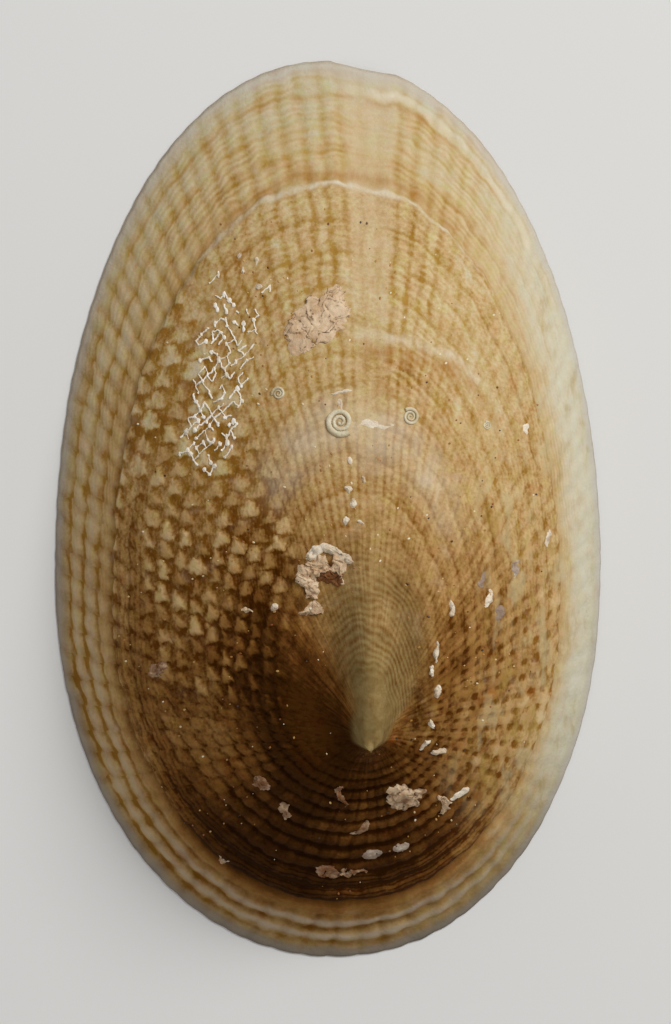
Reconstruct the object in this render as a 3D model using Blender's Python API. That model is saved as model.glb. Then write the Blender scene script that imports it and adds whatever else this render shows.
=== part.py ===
"""Slit limpet shell: one oval, ribbed cap with a hooked apex, hollow underneath.

The shell is built the way it grew. Each growth ring is the oval margin shrunk towards the apex, so
the ribs are straight rays from the apex and the cords are rings around it. The rings are lofted
into a closed dome, and the hollow and the front notch are cut out of it.

Axes: +Z up, +Y to the front (the notched end), +X to the right seen from above. The rim stands on
z = 0, and the origin is under the middle of the shell.
"""

import bmesh
import bpy
import numpy as np

MM = 0.001

# Driving dimensions, in millimetres
LENGTH = 60.0
WIDTH = 36.5
HEIGHT = 16.0
RIM_WIDTH = 1.0
CROWN_WALL = 1.5

# Margin, as seen from above
WIDEST_Y = -0.0715 * LENGTH
OVAL_POWER = 2.08
TAIL_SWAY = 0.45
MARGIN_SAMPLES = 4000

# Apex and the slopes that fall from it; heights here are shares of the crown's height
APEX = np.array([0.077 * WIDTH, -0.237 * LENGTH])
HOOK_REACH = 1.3
HOOK_DROP = 0.075
HOOK_RING = 0.045
FRONT_BULGE = 1.8
BACK_HOLLOW = 0.25
SIDE_FULLNESS = 0.6
UNDERCUT = 0.08
UNDERCUT_RING = 0.1
CROWN_SAMPLES = 400

# The beak, the rounded crest that runs forward from the tip, widens to a full width
BEAK_TIP_WIDTH = 0.8
BEAK_WIDENING = 0.35
BEAK_WIDTH = 2.0
BEAK_BACK = 0.5
BEAK_RINGS = (0.06, 0.30)

# Growth lagged at the back, so rings there sit closer to the apex
BACK_LAG = 0.45

# Ribs run from the apex to the margin and lie closer together at the front and on the right
RIBS = 94
RIB_HEIGHT = 0.18
FRONT_CROWDING = 0.12
RIGHT_CROWDING = 0.05
BROAD_RIB_SHARE = 0.25
FINE_RIBS_FROM = 0.32
FINE_RIBS_TO = 0.52
RIM_SMOOTHING = 0.45
RIM_SMOOTHING_FROM = 0.90

# Cords and the growth ledge run around the apex; ring 0 is the apex and ring 1 the margin
CORD_HEIGHT = 0.09
OUTER_CORDS = 4
INNER_CORDS = 4
LEDGE_LIP = 0.80
LEDGE_FOOT = 0.815
LEDGE_HEIGHT = 0.22
CORDS_FROM = 0.45
BROAD_RINGS = (0.20, 0.25, 0.30, 0.35, 0.40)
APEX_RINGS = (0.025, 0.05, 0.08, 0.115, 0.155)

# Low crusts grown on the crown: centre x, centre y, radius, height
CRUSTS = (
    (-0.6, 12.3, 2.0, 0.35),
    (0.5, -4.8, 2.4, 0.40),
)

# Hollow and notch
HOLLOW_SEGMENTS = 64
HOLLOW_RINGS = (0.16, 0.26, 0.36, 0.46, 0.56, 0.66, 0.76, 0.86, 0.94, 1.0)
HOLLOW_SINK = 0.05
HOLLOW_SKIRT = 2.0
NOTCH_X = 2.4
NOTCH_HALF_WIDTH = 2.2
NOTCH_HEIGHT = 0.25
NOTCH_REACH = 6.0
NOTCH_SIDES = 96


def clear_scene():
    for old in list(bpy.data.objects):
        bpy.data.objects.remove(old, do_unlink=True)


def make_collection(name):
    collection = bpy.data.collections.new(name)
    bpy.context.scene.collection.children.link(collection)
    return collection


def smooth_step(value, low, high):
    t = np.clip((value - low) / (high - low), 0.0, 1.0)
    return t * t * (3.0 - 2.0 * t)


def oval(turn):
    """Margin points, mid-way up the ribs, at angles from the front, counter-clockwise from above."""
    power = 2.0 / OVAL_POWER
    across = -np.sign(np.sin(turn)) * np.abs(np.sin(turn)) ** power
    along = np.sign(np.cos(turn)) * np.abs(np.cos(turn)) ** power
    rim_rib = (1.0 - RIM_SMOOTHING) * RIB_HEIGHT
    half_length = LENGTH / 2.0 - rim_rib
    half_width = WIDTH / 2.0 - rim_rib
    y = WIDEST_Y + np.where(along > 0.0, half_length - WIDEST_Y, half_length + WIDEST_Y) * along
    sway = TAIL_SWAY * np.clip(-y / half_length, 0.0, 1.0) ** 3
    return np.stack([across * half_width + sway, y], axis=-1)


def rib_number(part):
    """Ribs counted from the front up to a part (0 to 1) of the way round the margin."""
    angle = 2.0 * np.pi * part
    shift = FRONT_CROWDING * np.sin(angle) + RIGHT_CROWDING * (np.cos(angle) - 1.0)
    return RIBS * (part + shift / (2.0 * np.pi))


def margin(ribs):
    """Margin points where the given rib numbers end."""
    turn = np.linspace(0.0, 2.0 * np.pi, MARGIN_SAMPLES)
    points = oval(turn)
    steps = np.linalg.norm(np.diff(points, axis=0), axis=1)
    part = np.concatenate([[0.0], np.cumsum(steps)]) / steps.sum()
    turn_there = np.interp(np.mod(ribs, RIBS), rib_number(part), turn)
    return oval(turn_there)


def front_profile(ring):
    """Height of the front slope, as a share of the cone that it bulges from."""
    return 1.0 - ring**FRONT_BULGE - HOOK_DROP * np.exp(-ring / HOOK_RING)


def back_profile(ring):
    """Height of the back slope, which is hollowed under the hooked tip."""
    under = ring / UNDERCUT_RING * np.exp(1.0 - ring / UNDERCUT_RING)
    slope = (1.0 - ring) * (1.0 - BACK_HOLLOW * ring)
    return slope - UNDERCUT * under - HOOK_DROP * np.exp(-ring / HOOK_RING)


def beak(ring, edge):
    """1 along the beak's crest, falling to 0 beside it and behind the tip."""
    across = ring * edge[:, 0]
    ahead = ring * edge[:, 1]
    width = np.minimum(BEAK_TIP_WIDTH + BEAK_WIDENING * np.maximum(ahead, 0.0), BEAK_WIDTH)
    behind = np.minimum(ahead, 0.0) / BEAK_BACK
    return np.exp(-((across / width) ** 2) - behind**2)


def dome(ring, ribs):
    """Smooth outer surface, without relief, on a growth ring at the given rib numbers."""
    edge = margin(ribs) - APEX
    facing = 0.5 + 0.5 * edge[:, 1] / np.linalg.norm(edge, axis=1)
    ring = ring - BACK_LAG * (1.0 - facing) ** 2 * ring * (1.0 - ring)
    x = APEX[0] + ring * edge[:, 0]
    y = APEX[1] + ring * edge[:, 1] - HOOK_REACH * np.exp(-ring / HOOK_RING)
    crown = front_profile(np.linspace(0.0, 1.0, CROWN_SAMPLES)).max()
    grown = smooth_step(ring, *BEAK_RINGS)
    frontness = (1.0 - grown) * beak(ring, edge) + grown * facing**SIDE_FULLNESS
    profile = frontness * front_profile(ring) + (1.0 - frontness) * back_profile(ring)
    return np.stack([x, y, HEIGHT * profile / crown], axis=-1)


def outward(ring, ribs):
    """Unit normals of the smooth surface."""
    step = 0.004
    along = dome(ring + step, ribs) - dome(max(ring - step, 0.0), ribs)
    around = dome(ring, ribs + step * RIBS) - dome(ring, ribs - step * RIBS)
    normal = np.cross(along, around)
    return normal / np.linalg.norm(normal, axis=1)[:, None]


def relief(ring, ribs, cord, points):
    """Height of ribs, cords, growth ledge and crusts above the smooth surface."""
    fine = smooth_step(ring, FINE_RIBS_FROM, FINE_RIBS_TO)
    broad_wave = np.cos(np.pi * ribs)
    wave = (1.0 - fine) * 0.6 * broad_wave
    wave = wave + fine * (np.cos(2.0 * np.pi * ribs) + BROAD_RIB_SHARE * broad_wave)
    calm = 1.0 - RIM_SMOOTHING * smooth_step(ring, RIM_SMOOTHING_FROM, 1.0)
    height = calm * (RIB_HEIGHT * ring**0.7 * wave + CORD_HEIGHT * cord)
    if ring <= LEDGE_LIP:
        height = height + LEDGE_HEIGHT * smooth_step(ring, CORDS_FROM, LEDGE_LIP)
    for x, y, radius, lump in CRUSTS:
        away = np.hypot(points[:, 0] - x, points[:, 1] - y) / radius
        height = height + lump * np.exp(-(away**4))
    return height


def sculpted_ring(ring, ribs, cord):
    """One ring of the outside; the margin itself stays level on z = 0."""
    points = dome(ring, ribs)
    normal = outward(ring, ribs)
    if ring >= 1.0:
        normal[:, 2] = 0.0
        normal = normal / np.linalg.norm(normal, axis=1)[:, None]
    points = points + normal * relief(ring, ribs, cord, points)[:, None]
    if ring >= 1.0:
        points[:, 2] = 0.0
    return points


def cord_rings():
    """Growth rings with a cord's crest (+1) or the groove beside it (-1)."""
    rings = []
    inner_step = (LEDGE_LIP - CORDS_FROM) / (2 * INNER_CORDS)
    for i in range(2 * INNER_CORDS):
        rings.append((CORDS_FROM + i * inner_step, 1.0 - 2.0 * (i % 2)))
    rings.append((LEDGE_LIP, 1.0))
    rings.append((LEDGE_FOOT, -1.0))
    outer_step = (1.0 - LEDGE_FOOT) / (2 * OUTER_CORDS)
    for i in range(1, 2 * OUTER_CORDS):
        rings.append((LEDGE_FOOT + i * outer_step, 2.0 * (i % 2) - 1.0))
    rings.append((1.0, 0.0))
    return rings


def outside_rings():
    """All rings from the apex out; each set has twice the points of the set inside it."""
    rings = [sculpted_ring(ring, np.arange(0, RIBS, 2.0), 0.0) for ring in APEX_RINGS]
    rings += [sculpted_ring(ring, np.arange(0, RIBS, 1.0), 0.0) for ring in BROAD_RINGS]
    rings += [sculpted_ring(ring, np.arange(0, RIBS, 0.5), cord) for ring, cord in cord_rings()]
    return rings


def hollow_rings():
    """Rings of the inner surface: the smooth outside, shrunk to leave the rim and the crown wall."""
    ribs = np.linspace(0.0, RIBS, HOLLOW_SEGMENTS, endpoint=False)
    shrink = np.array([
        1.0 - 2.0 * RIM_WIDTH / WIDTH,
        1.0 - 2.0 * RIM_WIDTH / LENGTH,
        1.0 - CROWN_WALL / HEIGHT,
    ])
    rings = [dome(ring, ribs) * shrink for ring in HOLLOW_RINGS]
    rings[-1][:, 2] -= HOLLOW_SINK
    skirt = rings[-1].copy()
    skirt[:, 2] = -HOLLOW_SKIRT
    return rings + [skirt]


def bridge(mesh, inner, outer):
    """Faces between two rings; the outer one has as many points or twice as many."""
    count = len(inner)
    for k in range(count):
        nxt = (k + 1) % count
        if len(outer) == count:
            mesh.faces.new((inner[k], outer[k], outer[nxt], inner[nxt]))
            continue
        middle = outer[2 * k + 1]
        mesh.faces.new((inner[k], outer[2 * k], middle))
        mesh.faces.new((inner[k], middle, inner[nxt]))
        mesh.faces.new((inner[nxt], middle, outer[(2 * k + 2) % len(outer)]))


def loft(name, tip, rings, collection):
    """Closed body: a fan at the tip, bridged rings, and a flat face over the last ring."""
    mesh = bmesh.new()
    top = mesh.verts.new(tip * MM)
    loops = [[mesh.verts.new(point * MM) for point in ring] for ring in rings]
    first = loops[0]
    for k, vert in enumerate(first):
        mesh.faces.new((top, vert, first[(k + 1) % len(first)]))
    for inner, outer in zip(loops, loops[1:]):
        bridge(mesh, inner, outer)
    mesh.faces.new(list(reversed(loops[-1])))
    bmesh.ops.recalc_face_normals(mesh, faces=mesh.faces)
    data = bpy.data.meshes.new(name)
    mesh.to_mesh(data)
    mesh.free()
    body = bpy.data.objects.new(name, data)
    collection.objects.link(body)
    return body


def make_notch_cutter(collection):
    """Shallow cylinder lying along Y that arches the rim where the slit band ends."""
    radius = (NOTCH_HALF_WIDTH**2 + NOTCH_HEIGHT**2) / (2.0 * NOTCH_HEIGHT)
    mesh = bmesh.new()
    bmesh.ops.create_cone(
        mesh,
        cap_ends=True,
        segments=NOTCH_SIDES,
        radius1=radius * MM,
        radius2=radius * MM,
        depth=NOTCH_REACH * MM,
    )
    data = bpy.data.meshes.new("notch_cutter")
    mesh.to_mesh(data)
    mesh.free()
    cutter = bpy.data.objects.new("notch_cutter", data)
    cutter.rotation_euler = (np.pi / 2.0, 0.0, 0.0)
    cutter.location = (NOTCH_X * MM, LENGTH / 2.0 * MM, (NOTCH_HEIGHT - radius) * MM)
    collection.objects.link(cutter)
    return cutter


def cut(body, cutter):
    cutter.hide_render = True
    cutter.display_type = "WIRE"
    modifier = body.modifiers.new("cut_" + cutter.name, "BOOLEAN")
    modifier.operation = "DIFFERENCE"
    modifier.solver = "EXACT"
    modifier.object = cutter


def shell_material():
    material = bpy.data.materials.new("weathered_shell")
    material.use_nodes = True
    principled = material.node_tree.nodes["Principled BSDF"]
    principled.inputs["Base Color"].default_value = (0.50, 0.37, 0.20, 1.0)
    principled.inputs["Roughness"].default_value = 0.6
    principled.inputs["Metallic"].default_value = 0.0
    return material


def make_shell(parts, cutters):
    tip = dome(0.0, np.zeros(1))[0]
    shell = loft("shell", tip, outside_rings(), parts)
    inner = hollow_rings()
    crown = inner[0].mean(axis=0) + np.array([0.0, 0.0, 0.2])
    hollow = loft("hollow_cutter", crown, inner, cutters)
    cut(shell, hollow)
    cut(shell, make_notch_cutter(cutters))
    shell.data.materials.append(shell_material())
    shell.data.shade_flat()
    return shell


def main():
    clear_scene()
    parts = make_collection("slit_limpet_shell")
    cutters = make_collection("cutters")
    make_shell(parts, cutters)


main()
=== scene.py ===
"""Slit limpet shell: the weathered, beaded shell with the small growths that live on it.

The shell is dressed in its own growth coordinates. A rib number says how far round the shell a
place is, counted from the front and counter-clockwise seen from above, and a ring says how far
out it is, from 0 at the apex to 1 at the margin. Ribs are rays of one rib number, and cords, the
growth ledge and the colour bands are lines of one ring.
"""

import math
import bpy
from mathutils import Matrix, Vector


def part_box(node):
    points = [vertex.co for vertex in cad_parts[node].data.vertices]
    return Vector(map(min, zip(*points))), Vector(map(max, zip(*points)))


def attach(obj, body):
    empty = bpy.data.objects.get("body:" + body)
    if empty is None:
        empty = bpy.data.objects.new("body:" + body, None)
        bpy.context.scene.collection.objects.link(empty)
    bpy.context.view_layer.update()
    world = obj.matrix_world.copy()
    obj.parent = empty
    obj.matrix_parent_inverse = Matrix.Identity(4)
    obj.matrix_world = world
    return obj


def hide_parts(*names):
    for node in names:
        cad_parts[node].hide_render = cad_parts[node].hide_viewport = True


bl_info = {
    "name": "Slit Limpet Shell",
    "version": (1, 0, 0),
    "blender": (4, 5, 0),
    "location": "3D View > Sidebar > Limpet",
    "description": "Grows a slit limpet shell with its beads, worm tubes, threads and crusts",
    "category": "Object",
}

import bpy
import numpy as np
from bpy.props import FloatProperty, FloatVectorProperty, IntProperty, PointerProperty
from mathutils import Vector

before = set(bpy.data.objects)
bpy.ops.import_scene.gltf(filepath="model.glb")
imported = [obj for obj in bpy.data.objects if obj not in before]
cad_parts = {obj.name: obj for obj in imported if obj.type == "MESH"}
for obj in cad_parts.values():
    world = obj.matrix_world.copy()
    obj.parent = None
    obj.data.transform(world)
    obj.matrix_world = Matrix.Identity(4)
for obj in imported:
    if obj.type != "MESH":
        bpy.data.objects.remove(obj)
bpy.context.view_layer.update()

MM = 0.001
SHELL_LOW, SHELL_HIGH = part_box("shell")
LENGTH = SHELL_HIGH.y - SHELL_LOW.y
WIDTH = SHELL_HIGH.x - SHELL_LOW.x
HEIGHT = SHELL_HIGH.z - SHELL_LOW.z

# The rule that the shell grew by, shared with the solid
WIDEST_Y = -0.0715
OVAL_POWER = 2.08
TAIL_SWAY = 0.45 * MM
APEX_X = 0.077
APEX_Y = -0.237
HOOK_REACH = 1.3 * MM
HOOK_DROP = 0.075
HOOK_RING = 0.045
FRONT_BULGE = 1.8
BACK_HOLLOW = 0.25
SIDE_FULLNESS = 0.6
UNDERCUT = 0.08
UNDERCUT_RING = 0.1
BACK_LAG = 0.45
FRONT_CROWDING = 0.12
RIGHT_CROWDING = 0.05
LEDGE_LIP = 0.80
LEDGE_FOOT = 0.815
OUTER_CORDS = 4
INNER_CORD_RING = 0.677
INNER_CORD_STEP = 0.05
NOTCH_X = 2.4 * MM
NOTCH_HALF_WIDTH = 2.2 * MM
NOTCH_HEIGHT = 0.25 * MM
NOTCH_INSET = 0.35 * MM
BEAK_TIP_WIDTH = 0.8 * MM
BEAK_WIDENING = 0.35
BEAK_WIDTH = 2.0 * MM
BEAK_BACK = 0.5 * MM
BEAK_RING = 0.30

# The skin alone: teeth on the left flank, the smooth band behind the notch, and the olive cap
TOOTH_COLUMN = 0.041
TOOTH_ROW = 1.3 * MM
BEAD_SLANT = 0.35
BAND_FROM = 90.8
BAND_TO = 93.4
BAND_BLUR = 0.6
CAP_SHIFT = 0.8 * MM
CAP_SHIFT_REACH = 2.4 * MM
CAP_TIP_WIDTH = 1.2 * MM
CAP_WIDENING = 0.32
INSIDE_FROM = 1.02
ROW_CROWDING = 0.92
RIM_EASING = 0.246
RIM_ROUNDING = 0.12 * MM

# How brown the flanks are, front, right, back and left, then the corners, at the rings below
BROWN_RINGS = (0.07, 0.17, 0.27, 0.37, 0.52, 0.64, 0.74, 0.81, 0.87, 0.95)
BROWN_CORNERS = ((0, 3), (2, 3), (0, 1), (1, 2))
BROWN = (
    (0.58, 0.52, 0.46, 0.38, 0.25, 0.18, 0.22, 0.22, 0.15, 0.08),
    (0.64, 0.66, 0.66, 0.7, 0.56, 0.46, 0.4, 0.3, 0.1, 0.0),
    (0.85, 0.95, 0.9, 0.88, 0.85, 0.9, 0.9, 0.78, 0.48, 0.3),
    (0.95, 1.08, 1.08, 0.96, 0.68, 0.66, 0.7, 0.55, 0.34, 0.33),
    (0.06, 0.1, 0.14, 0.12, 0.06, 0.02, 0.0, 0.0, 0.0, 0.0),
    (0.15, 0.0, 0.05, 0.16, 0.22, 0.22, 0.3, 0.24, 0.07, 0.04),
    (0.05, 0.08, 0.12, 0.17, 0.16, 0.1, 0.05, 0.02, 0.0, 0.0),
    (0.15, 0.1, 0.05, 0.0, 0.05, 0.08, 0.06, 0.05, 0.02, 0.0),
    (0.0,) * 10,  # makes up the last group of three
)

# Colours as they look on a screen, 0 to 255, from pale to brown, and from dark grains to pale
BEAD_COLOURS = (
    (0.0, (206, 199, 176)),
    (0.15, (211, 190, 148)),
    (0.3, (205, 174, 124)),
    (0.45, (186, 148, 95)),
    (0.6, (160, 118, 64)),
    (0.75, (128, 84, 37)),
    (0.9, (88, 53, 20)),
    (1.0, (66, 37, 9)),
)
PIT_COLOURS = (
    (0.0, (184, 170, 122)),
    (0.15, (178, 140, 68)),
    (0.3, (156, 112, 44)),
    (0.45, (130, 85, 26)),
    (0.6, (98, 55, 8)),
    (0.75, (70, 35, 3)),
    (0.9, (52, 25, 1)),
    (1.0, (40, 18, 0)),
)
# painted highlight, in part: the golden and cream grains stand for small glints of light as well as for
# real grains
GRIT_AND_GLINT_COLOURS = (
    (0.0, (30, 18, 10)),
    (0.14, (60, 34, 16)),
    (0.22, (140, 74, 22)),
    (0.5, (180, 126, 52)),
    (0.7, (206, 172, 104)),
    (0.9, (232, 220, 190)),
)

# Pale, dark, share of pin-holes, the centre's colour, and how much soil lies on the low edges
CHALKS = {
    "tan_crust": ((228, 202, 168), (190, 152, 110), 0.5, (124, 76, 34), 0.7),
    "white_chalk": ((240, 228, 206), (196, 170, 136), 0.2, (150, 126, 108), 0.6),
    "worm_chalk": ((222, 212, 184), (190, 170, 128), 0.1, (150, 120, 70), 0.0),
    "lace_chalk": ((254, 248, 236), (232, 216, 190), 0.0, (190, 160, 120), 0.0),
}

# Growths: rib number, ring, half sizes and height in mm, heading in degrees, tone from 0 to 1
CRUSTS = (
    (2.0, 0.605, (2.0, 1.6, 0.17), 10.0, 0.15),
    (0.7, 0.622, (1.3, 1.0, 0.22), 60.0, 0.1),
    (3.4, 0.59, (1.0, 1.3, 0.17), 0.0, 0.1),
    (6.0, 0.245, (0.8, 0.8, 0.28), 80.0, 1.0),
    (7.6, 0.27, (0.9, 0.7, 0.4), 40.0, 0.2),
    (10.25, 0.27, (0.5, 0.9, 0.34), 10.0, 0.3),
    (10.4, 0.25, (0.6, 0.5, 0.3), 50.0, 0.4),
    (3.4, 0.24, (0.5, 0.8, 0.34), 10.0, 0.3),
    (12.0, 0.235, (0.5, 0.4, 0.24), 10.0, 0.5),
    (50.75, 0.45, (1.2, 1.0, 0.26), 20.0, 0.55),
    (49.8, 0.41, (0.7, 0.5, 0.26), 70.0, 0.3),
    (53.0, 0.575, (0.7, 0.4, 0.24), 60.0, 0.2),
    (44.75, 0.685, (1.2, 0.4, 0.18), 0.0, 0.75),
    (46.0, 0.7, (0.8, 0.2, 0.16), 10.0, 0.65),
    (46.0, 0.53, (0.6, 0.3, 0.16), 20.0, 0.65),
    (37.0, 0.505, (0.5, 0.3, 0.16), 20.0, 0.7),
    (39.75, 0.535, (0.3, 0.5, 0.16), 20.0, 0.7),
    (43.5, 0.395, (0.22, 0.8, 0.16), 5.0, 0.75),
    (39.5, 0.805, (0.3, 0.3, 0.12), 0.0, 0.6),
    (29.25, 0.675, (0.8, 0.45, 0.2), 40.0, 0.7),
    (20.75, 0.385, (0.25, 0.25, 0.2), 10.0, 0.1),
)
FLECKS = (
    (7.0, 0.29, (0.9, 0.36, 0.28), 35.0, 0.3),
    (4.25, 0.268, (0.9, 0.32, 0.32), -25.0, 0.0),
    (2.6, 0.25, (0.6, 0.32, 0.28), -40.0, 0.1),
    (71.0, 0.28, (0.68, 0.16, 0.2), 86.0, 0.1),
    (69.0, 0.26, (0.51, 0.19, 0.21), 95.0, 0.0),
    (65.0, 0.29, (0.51, 0.19, 0.2), 80.0, 0.2),
    (73.0, 0.36, (0.55, 0.2, 0.21), 92.0, 0.0),
    (70.0, 0.505, (0.59, 0.18, 0.17), 85.0, 0.3),
    (57.0, 0.385, (0.59, 0.2, 0.2), 20.0, 0.2),
    (57.25, 0.3, (0.51, 0.14, 0.18), 40.0, 0.4),
    (54.5, 0.605, (0.77, 0.2, 0.18), 25.0, 0.3),
    (60.75, 0.275, (0.17, 0.34, 0.17), 10.0, 0.3),
    (72.0, 0.485, (0.59, 0.27, 0.14), 80.0, 0.9),
    (68.0, 0.55, (0.59, 0.26, 0.14), 80.0, 0.9),
    (70.0, 0.62, (0.68, 0.23, 0.14), 75.0, 0.7),
    (69.5, 0.76, (0.68, 0.2, 0.12), 80.0, 0.5),
    (76.25, 0.74, (0.42, 0.23, 0.12), 80.0, 0.2),
    (47.0, 0.635, (0.68, 0.31, 0.14), 10.0, 0.8),
    (49.0, 0.63, (0.59, 0.29, 0.15), 15.0, 0.7),
    (18.0, 0.325, (0.3, 0.24, 0.2), 0.0, 0.0),
    (12.0, 0.235, (0.26, 0.17, 0.15), 0.0, 0.3),
    (91.6, 0.452, (1.3, 0.29, 0.1), 0.0, 0.1),
    (0.7, 0.49, (0.77, 0.11, 0.14), 4.0, 0.1),
    (0.9, 0.475, (0.17, 0.41, 0.14), 0.0, 0.2),
    (0.5, 0.39, (0.17, 0.24, 0.15), 20.0, 0.2),
    (93.0, 0.37, (0.14, 0.27, 0.15), 0.0, 0.2),
    (0.75, 0.35, (0.26, 0.31, 0.17), 20.0, 0.1),
    (0.5, 0.33, (0.21, 0.34, 0.17), -10.0, 0.2),
    (93.5, 0.305, (0.26, 0.14, 0.15), 0.0, 0.3),
    (1.75, 0.305, (0.17, 0.27, 0.17), 0.0, 0.3),
    (6.25, 0.755, (0.17, 0.2, 0.14), 0.0, 0.3),
    (5.25, 0.73, (0.14, 0.24, 0.14), 0.0, 0.3),
    (6.25, 0.73, (0.17, 0.17, 0.14), 0.0, 0.3),
    (5.5, 0.69, (0.17, 0.17, 0.14), 0.0, 0.3),
)

BLOB_SMALLEST = (0.05 * MM, 0.07 * MM, 0.04 * MM)
BLOB_LARGEST = (0.15 * MM, 0.24 * MM, 0.1 * MM)
SHELL_SHARE = 0.875  # of the height of the picture
CAMERA_SHIFT = (0.54 * MM, -0.2 * MM)
KEY_PLACE = (0.26, 0.26, 0.36)

LACE_RIB = 10.6
LACE_RING = 0.633
WORMS = (
    (1.0, 0.45, (1.05, 1.05, 1.0), 200.0, 0.0),
    (88.0, 0.49, (0.62, 0.66, 0.7), 20.0, 0.1),
    (6.25, 0.53, (0.5, 0.5, 0.5), 90.0, 0.5),
    (79.75, 0.63, (0.32, 0.32, 0.32), 0.0, 0.2),
)


def crown_share():
    """Highest point of the front slope, as a share of the cone that it bulges from."""
    ring = np.linspace(0.0, 1.0, 400)
    profile = 1.0 - ring**FRONT_BULGE - HOOK_DROP * np.exp(-ring / HOOK_RING)
    return float(profile.max())


def paint(red, green, blue):
    """A colour given as it looks on a screen, 0 to 255, in the linear values that nodes use."""
    linear = []
    for value in (red, green, blue):
        share = value / 255.0
        linear.append(share / 12.92 if share <= 0.04045 else ((share + 0.055) / 1.055) ** 2.4)
    return (*linear, 1.0)


# ---------------------------------------------------------------- arithmetic on node sockets


class Wire:
    """An output socket that can be used in arithmetic, in a shader or a geometry tree."""

    def __init__(self, tree, socket):
        self.tree = tree
        self.socket = socket

    def __add__(self, other):
        return calc("ADD", self, other)

    def __radd__(self, other):
        return calc("ADD", other, self)

    def __sub__(self, other):
        return calc("SUBTRACT", self, other)

    def __rsub__(self, other):
        return calc("SUBTRACT", other, self)

    def __mul__(self, other):
        return calc("MULTIPLY", self, other)

    def __rmul__(self, other):
        return calc("MULTIPLY", other, self)

    def __truediv__(self, other):
        return calc("DIVIDE", self, other)

    def __pow__(self, other):
        return calc("POWER", self, other)

    def __neg__(self):
        return calc("MULTIPLY", self, -1.0)


def add(tree, kind, inputs=None, **settings):
    """A new node with its settings, and its inputs linked or set."""
    made = tree.nodes.new(kind)
    for name, value in settings.items():
        setattr(made, name, value)
    for key, value in (inputs or {}).items():
        if isinstance(value, Wire):
            tree.links.new(value.socket, made.inputs[key])
        else:
            made.inputs[key].default_value = value
    return made


def out(made, key=0):
    return Wire(made.id_data, made.outputs[key])


def calc(operation, *values):
    tree = next(value.tree for value in values if isinstance(value, Wire))
    return out(add(tree, "ShaderNodeMath", dict(enumerate(values)), operation=operation))


def absolute(value):
    return calc("ABSOLUTE", value)


def smooth(value, low, high):
    """0 below low, 1 above high, and an even S-curve between them."""
    inputs = {"Value": value, "From Min": low, "From Max": high}
    made = add(value.tree, "ShaderNodeMapRange", inputs, interpolation_type="SMOOTHSTEP")
    return out(made)


def fade(value, low, high):
    """1 below low, 0 above high, and an even S-curve between them."""
    return smooth(value, high, low)


def hump(value, centre, width):
    """A smooth bell around centre."""
    away = calc("MULTIPLY_ADD", value, 1.0 / width, -centre / width)
    return calc("EXPONENT", away * away * -1.0)


def mix(factor, low, high):
    """low where factor is 0, high where it is 1."""
    return calc("MULTIPLY_ADD", factor, high - low, low)


def vector(tree, x, y, z):
    return out(add(tree, "ShaderNodeCombineXYZ", {"X": x, "Y": y, "Z": z}))


def parts_of(wire):
    made = add(wire.tree, "ShaderNodeSeparateXYZ", {0: wire})
    return out(made, "X"), out(made, "Y"), out(made, "Z")


def noise(place, scale, detail=2.0, roughness=0.5):
    """Even noise around 0, from about -1 to 1."""
    inputs = {"Vector": place, "Scale": scale, "Detail": detail, "Roughness": roughness}
    made = add(place.tree, "ShaderNodeTexNoise", inputs)
    return calc("MULTIPLY_ADD", out(made), 2.0, -1.0)


def position(tree):
    return out(tree.nodes.new("GeometryNodeInputPosition"))


def object_place(tree):
    return out(tree.nodes.new("ShaderNodeTexCoord"), "Object")


def dot(one, other):
    made = add(one.tree, "ShaderNodeVectorMath", {0: one, 1: other}, operation="DOT_PRODUCT")
    return out(made, "Value")


# ---------------------------------------------------------------- patterns along the growth


def crest(count):
    """1 on the crest of a rib or cord, 0 in the groove between two; crests are whole numbers."""
    return calc("MULTIPLY_ADD", calc("PINGPONG", count, 0.5), -2.0, 1.0)


def cord_number(ring):
    """Cords have their crests at whole numbers, and start again at the growth ledge."""
    outside = (ring - LEDGE_FOOT) * (OUTER_CORDS / (1.0 - LEDGE_FOOT)) - 0.5
    inside = (ring - INNER_CORD_RING) / INNER_CORD_STEP
    beyond = calc("GREATER_THAN", ring, 0.5 * (LEDGE_LIP + LEDGE_FOOT))
    return mix(beyond, inside, outside)


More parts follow.
